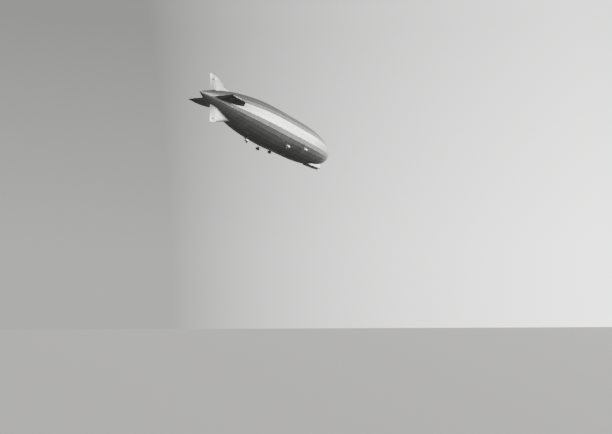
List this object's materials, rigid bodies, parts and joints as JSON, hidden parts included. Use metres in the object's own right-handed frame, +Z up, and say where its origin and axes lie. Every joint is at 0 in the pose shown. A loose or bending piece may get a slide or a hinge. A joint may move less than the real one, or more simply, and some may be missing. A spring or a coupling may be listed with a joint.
{
  "type": "rigid passenger airship, 1:10 scale model",
  "caption": "Rigid airship with a faceted fabric hull, cruciform tail with rudders and elevators, a glazed passenger car under the bow and strut-hung engine cars with pusher propellers.",
  "frame": {"origin": "centre of lift, on the hull's axis", "axes": "+X along the hull's axis to the nose, +Y to port, +Z up"},
  "size_m": [23.7, 3.1702, 3.486],
  "materials": {
    "doped_fabric": "aluminium-doped cotton, satin",
    "bare_metal": "machined, satin",
    "car_metal": "aluminium-painted sheet",
    "strut_paint": "grey paint, satin",
    "deck_wood": "varnished",
    "blade_wood": "varnished laminate",
    "window_glass": "clear",
    "engine_iron": "dark paint",
    "radiator_brass": "darkened core",
    "bag_fabric": "rubberised canvas, matte"
  },
  "bodies": {
    "hull": {"envelope": "doped_fabric", "tail_cone": "doped_fabric", "nose_cap": "doped_fabric", "mooring_spindle": "bare_metal", "upper_fin": "doped_fabric", "port_fin": "doped_fabric", "lower_fin": "doped_fabric", "starboard_fin": "doped_fabric", "car_shell": "doped_fabric", "car_deck": "deck_wood", "control_room_deck": "deck_wood", "car_glazing": "window_glass", "port_landing_rail": "strut_paint", "starboard_landing_rail": "strut_paint", "forward_bumper": "bag_fabric", "aft_bumper": "bag_fabric", "engine_car_forward_port": "car_metal", "engine_car_forward_starboard": "car_metal", "engine_car_aft_port": "car_metal", "engine_car_aft_starboard": "car_metal", "engine_car_centre": "car_metal", "engine_forward_port": "engine_iron", "engine_forward_starboard": "engine_iron", "engine_aft_port": "engine_iron", "engine_aft_starboard": "engine_iron", "engine_centre": "engine_iron", "radiator_forward_port": "radiator_brass", "radiator_forward_starboard": "radiator_brass", "radiator_aft_port": "radiator_brass", "radiator_aft_starboard": "radiator_brass", "radiator_centre": "radiator_brass", "struts_forward_port": "strut_paint", "struts_forward_starboard": "strut_paint", "struts_aft_port": "strut_paint", "struts_aft_starboard": "strut_paint", "struts_centre": "strut_paint", "ladder_forward_port": "strut_paint", "ladder_forward_starboard": "strut_paint", "ladder_aft_port": "strut_paint", "ladder_aft_starboard": "strut_paint", "ladder_centre": "strut_paint"},
    "upper_rudder": {"upper_rudder": "doped_fabric"},
    "lower_rudder": {"lower_rudder": "doped_fabric"},
    "port_elevator": {"port_elevator": "doped_fabric"},
    "starboard_elevator": {"starboard_elevator": "doped_fabric"},
    "entrance_door": {"entrance_door": "doped_fabric"},
    "propeller_forward_port": {"propeller_forward_port": "blade_wood"},
    "propeller_forward_starboard": {"propeller_forward_starboard": "blade_wood"},
    "propeller_aft_port": {"propeller_aft_port": "blade_wood"},
    "propeller_aft_starboard": {"propeller_aft_starboard": "blade_wood"},
    "propeller_centre": {"propeller_centre": "blade_wood"}
  },
  "joints": [
    {"name": "upper_rudder_turn", "type": "hinge", "parent": "hull", "child": "upper_rudder", "pos_m": [-11.121, 0, 1.06], "axis": [0, 0, 1], "range_deg": [-20, 20]},
    {"name": "lower_rudder_turn", "type": "hinge", "parent": "hull", "child": "lower_rudder", "pos_m": [-11.121, 0, -1.06], "axis": [0, 0, 1], "range_deg": [-20, 20]},
    {"name": "port_elevator_turn", "type": "hinge", "parent": "hull", "child": "port_elevator", "pos_m": [-11.121, 1.06, 0], "axis": [0, 1, 0], "range_deg": [-20, 20]},
    {"name": "starboard_elevator_turn", "type": "hinge", "parent": "hull", "child": "starboard_elevator", "pos_m": [-11.121, -1.06, 0], "axis": [0, 1, 0], "range_deg": [-20, 20]},
    {"name": "entrance_door_swing", "type": "hinge", "parent": "hull", "child": "entrance_door", "pos_m": [8.173, -0.306, -1.303], "axis": [0, 0, 1], "range_deg": [0, 95]},
    {"name": "propeller_forward_port_spin", "type": "hinge", "parent": "hull", "child": "propeller_forward_port", "pos_m": [1.631, 1.49, -1.08], "axis": [1, 0, 0], "continuous": true},
    {"name": "propeller_forward_starboard_spin", "type": "hinge", "parent": "hull", "child": "propeller_forward_starboard", "pos_m": [1.631, -1.49, -1.08], "axis": [1, 0, 0], "continuous": true},
    {"name": "propeller_aft_port_spin", "type": "hinge", "parent": "hull", "child": "propeller_aft_port", "pos_m": [-1.349, 1.22, -1.36], "axis": [1, 0, 0], "continuous": true},
    {"name": "propeller_aft_starboard_spin", "type": "hinge", "parent": "hull", "child": "propeller_aft_starboard", "pos_m": [-1.349, -1.22, -1.36], "axis": [1, 0, 0], "continuous": true},
    {"name": "propeller_centre_spin", "type": "hinge", "parent": "hull", "child": "propeller_centre", "pos_m": [-6.199, 0, -1.715], "axis": [1, 0, 0], "continuous": true}
  ],
  "couplings": [
    {"joint": "lower_rudder_turn", "follows": "upper_rudder_turn", "ratio": 1},
    {"joint": "starboard_elevator_turn", "follows": "port_elevator_turn", "ratio": 1}
  ]
}
